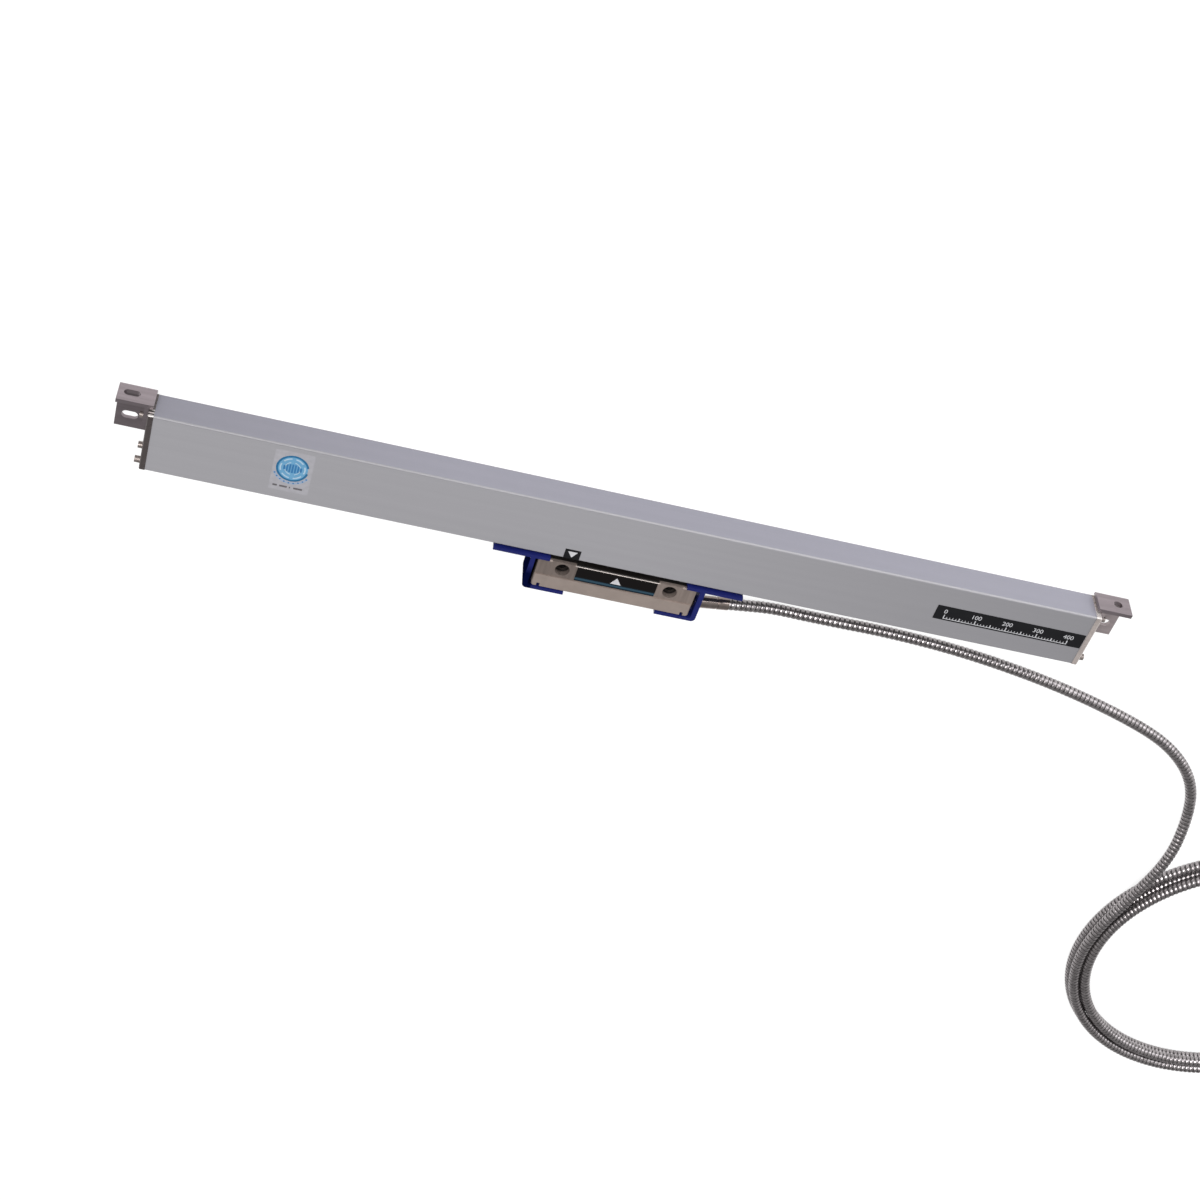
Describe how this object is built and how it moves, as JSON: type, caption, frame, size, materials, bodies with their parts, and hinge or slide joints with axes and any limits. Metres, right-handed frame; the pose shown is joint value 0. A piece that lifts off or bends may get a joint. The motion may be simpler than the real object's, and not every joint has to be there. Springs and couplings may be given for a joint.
{
  "type": "linear glass scale",
  "caption": "Sealed linear measuring scale: slim rectangular housing with slotted end brackets and a sliding reading head on an armoured cable ending in a D-shaped plug.",
  "frame": {"origin": "middle of the footprint of the scale on its mounting face, without the free cable", "axes": "+X along the measuring direction towards the cable side, +Y away from the sealing lips, +Z out of the front face"},
  "size_m": [0.9255, 0.3975, 0.0216],
  "materials": {
    "anodised_aluminium": "satin natural anodised, fine lengthwise drawing lines",
    "glass": "clear float glass, polished",
    "silicone": "soft grey adhesive strip",
    "seal_rubber": "matt black elastomer",
    "cap_dark": "dark brownish grey satin paint on die-cast zinc",
    "screw_steel": "plated steel",
    "bracket_steel": "satin nickel-plated steel plate",
    "head_cast": "fine blasted and coated die casting",
    "label_plastic": "black gloss with a dark teal lower bevel",
    "circuit_board": "green solder mask",
    "blade_steel": "ground stainless steel",
    "carriage_cast": "bare die casting",
    "lamp_resin": "clear lamp resin",
    "roller_steel": "ground bearing steel",
    "clip_plastic": "navy blue moulded plastic, satin",
    "sleeve_chrome": "polished nickel-plated sleeve",
    "conduit_steel": "polished stainless ribbed conduit",
    "boot_rubber": "matt black elastomer",
    "hood_metal": "satin metallised hood",
    "shell_metal": "nickel-plated sheet steel",
    "socket_plastic": "black moulded insulator"
  },
  "bodies": {
    "housing": {"housing_extrusion": "anodised_aluminium", "glass_scale": "glass", "glass_bedding_strip": "silicone", "sealing_lip_front": "seal_rubber", "sealing_lip_rear": "seal_rubber", "end_cap_left": "cap_dark", "end_cap_right": "cap_dark", "end_gasket_left": "seal_rubber", "end_gasket_right": "seal_rubber", "end_cap_screws_left": "screw_steel", "end_cap_screws_right": "screw_steel", "mounting_bracket_left": "bracket_steel", "mounting_bracket_right": "bracket_steel", "bracket_screws_left": "screw_steel", "bracket_screws_right": "screw_steel"},
    "reading_head": {"head_block": "head_cast", "head_label_plate": "label_plastic", "head_rear_cover": "head_cast", "head_cover_screws": "screw_steel", "signal_board": "circuit_board", "carrier_blade": "blade_steel", "blade_screws": "screw_steel", "coupling_wire": "blade_steel", "scanning_carriage": "carriage_cast", "roller_pins": "screw_steel", "scanning_lamp": "lamp_resin", "index_grating": "glass", "detector_board": "circuit_board", "transit_clip_left": "clip_plastic", "transit_clip_right": "clip_plastic", "cable_grommet": "seal_rubber", "cable_sleeve": "sleeve_chrome", "cable_conduit": "conduit_steel", "cable_coil": "conduit_steel", "cable_tail": "conduit_steel", "plug_boot": "boot_rubber", "plug_hood_lower": "hood_metal", "plug_hood_upper": "hood_metal", "plug_shell": "shell_metal", "plug_socket_block": "socket_plastic"},
    "edge_roller_left": {"edge_roller_left": "roller_steel"},
    "edge_roller_right": {"edge_roller_right": "roller_steel"},
    "face_roller_left": {"face_roller_left": "roller_steel"},
    "face_roller_middle": {"face_roller_middle": "roller_steel"},
    "face_roller_right": {"face_roller_right": "roller_steel"},
    "thumbscrew_left": {"thumbscrew_left": "screw_steel"},
    "thumbscrew_right": {"thumbscrew_right": "screw_steel"}
  },
  "joints": [
    {"name": "head_slide", "type": "slide", "parent": "housing", "child": "reading_head", "axis": [1, 0, 0], "range_m": [-0.1972, 0.2028]},
    {"name": "edge_roller_left_spin", "type": "hinge", "parent": "reading_head", "child": "edge_roller_left", "pos_m": [-0.0248, 0.00343, 0.008], "axis": [0, 0, 1], "continuous": true},
    {"name": "edge_roller_right_spin", "type": "hinge", "parent": "reading_head", "child": "edge_roller_right", "pos_m": [0.0192, 0.00343, 0.008], "axis": [0, 0, 1], "continuous": true},
    {"name": "face_roller_left_spin", "type": "hinge", "parent": "reading_head", "child": "face_roller_left", "pos_m": [-0.0248, 0.00948, 0.01255], "axis": [0, 1, 0], "continuous": true},
    {"name": "face_roller_middle_spin", "type": "hinge", "parent": "reading_head", "child": "face_roller_middle", "pos_m": [-0.0028, 0.01678, 0.01255], "axis": [0, 1, 0], "continuous": true},
    {"name": "face_roller_right_spin", "type": "hinge", "parent": "reading_head", "child": "face_roller_right", "pos_m": [0.0192, 0.00948, 0.01255], "axis": [0, 1, 0], "continuous": true},
    {"name": "thumbscrew_left_spin", "type": "hinge", "parent": "reading_head", "child": "thumbscrew_left", "pos_m": [0.63147, -0.15846, 0.0075], "axis": [0.075, 0.9972, 0], "continuous": true},
    {"name": "thumbscrew_right_spin", "type": "hinge", "parent": "reading_head", "child": "thumbscrew_right", "pos_m": [0.60654, -0.15659, 0.0075], "axis": [0.075, 0.9972, 0], "continuous": true}
  ],
  "couplings": [
    {"joint": "edge_roller_left_spin", "follows": "head_slide", "rad_per_m": 400},
    {"joint": "edge_roller_right_spin", "follows": "head_slide", "rad_per_m": 400},
    {"joint": "face_roller_left_spin", "follows": "head_slide", "rad_per_m": 400},
    {"joint": "face_roller_middle_spin", "follows": "head_slide", "rad_per_m": 400},
    {"joint": "face_roller_right_spin", "follows": "head_slide", "rad_per_m": 400}
  ]
}
